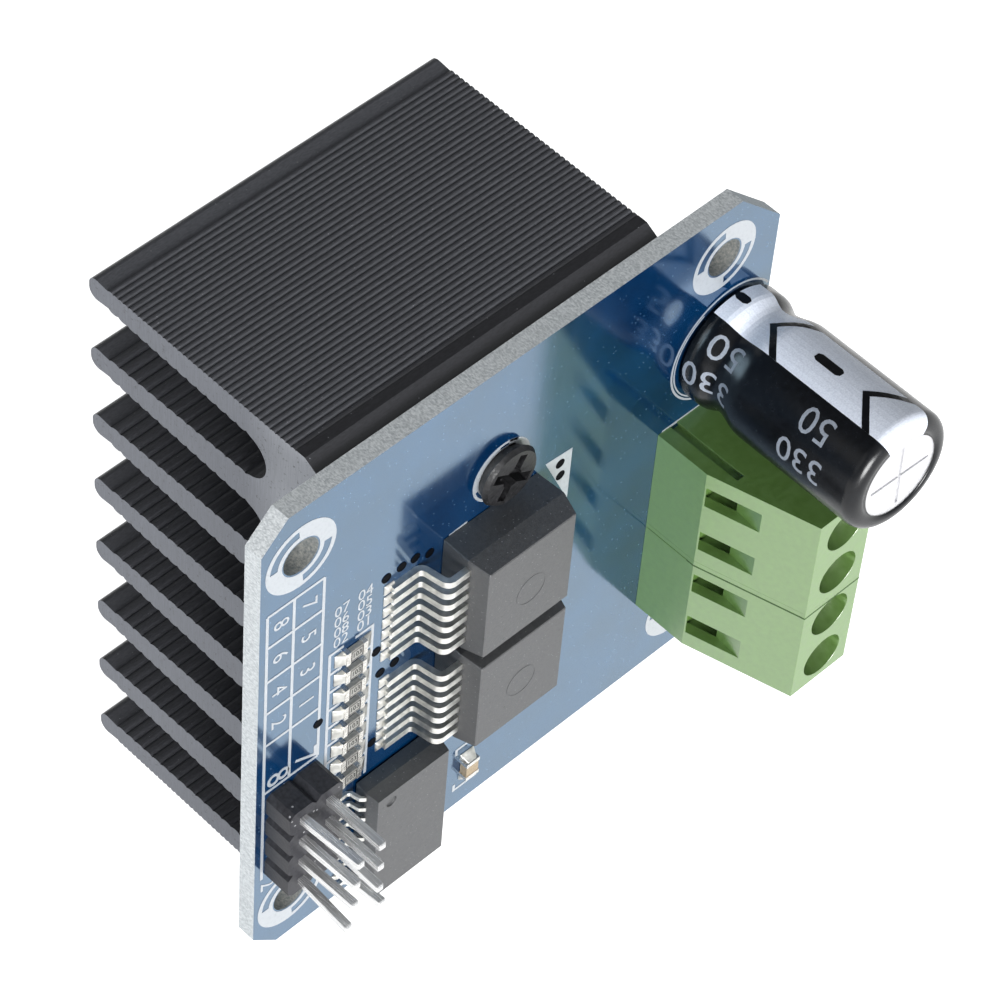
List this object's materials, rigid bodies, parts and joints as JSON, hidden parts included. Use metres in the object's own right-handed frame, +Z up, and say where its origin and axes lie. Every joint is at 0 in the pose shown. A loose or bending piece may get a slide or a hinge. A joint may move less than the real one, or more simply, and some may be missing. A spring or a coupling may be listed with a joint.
{
  "type": "dc motor driver module",
  "caption": "Square circuit board with power half bridges, a pin header, screw terminals and a storage capacitor, screwed to a finned heatsink.",
  "frame": {"origin": "centre of the four mounting holes, on the board's component face", "axes": "+X along the board towards the screw terminals, +Y from the component face through the board into the heatsink, +Z up along the board's left edge"},
  "size_m": [0.0506, 0.0429, 0.0523],
  "materials": {
    "board_laminate": "glossy blue solder mask on glass fibre laminate",
    "anodised_black": "black anodised extrusion with bare sawn ends",
    "pad_grey": "soft grey silicone sheet",
    "black_steel": "blackened steel screw",
    "tinned_metal": "bright tinned copper alloy",
    "mould_epoxy": "matt black moulding compound",
    "header_plastic": "satin black plastic",
    "chip_ceramic": "ceramic with tinned ends",
    "can_aluminium": "bare drawn aluminium",
    "sleeve_film": "glossy black shrink film with a grey stripe",
    "bung_rubber": "black rubber",
    "green_plastic": "satin green moulded plastic",
    "plated_steel": "zinc plated steel",
    "solder": "bright solder"
  },
  "bodies": {
    "root": {"circuit_board": "board_laminate", "heatsink": "anodised_black", "thermal_pad": "pad_grey", "heatsink_screw": "black_steel", "upper_driver_body": "mould_epoxy", "upper_driver_tab": "tinned_metal", "upper_driver_leads": "tinned_metal", "lower_driver_body": "mould_epoxy", "lower_driver_tab": "tinned_metal", "lower_driver_leads": "tinned_metal", "logic_buffer_body": "mould_epoxy", "logic_buffer_leads": "tinned_metal", "header_block": "header_plastic", "header_pins": "tinned_metal", "resistor_1": "chip_ceramic", "resistor_2": "chip_ceramic", "resistor_3": "chip_ceramic", "resistor_4": "chip_ceramic", "resistor_5": "chip_ceramic", "resistor_6": "chip_ceramic", "resistor_7": "chip_ceramic", "resistor_8": "chip_ceramic", "bypass_capacitor": "chip_ceramic", "capacitor_can": "can_aluminium", "capacitor_sleeve": "sleeve_film", "capacitor_bung": "bung_rubber", "capacitor_leads": "tinned_metal", "upper_terminal_housing": "green_plastic", "upper_clamp_cages": "plated_steel", "upper_clamp_screws": "plated_steel", "upper_terminal_contacts": "tinned_metal", "lower_terminal_housing": "green_plastic", "lower_clamp_cages": "plated_steel", "lower_clamp_screws": "plated_steel", "lower_terminal_contacts": "tinned_metal", "header_solder": "solder", "capacitor_solder": "solder", "terminal_solder": "solder"}
  },
  "joints": []
}
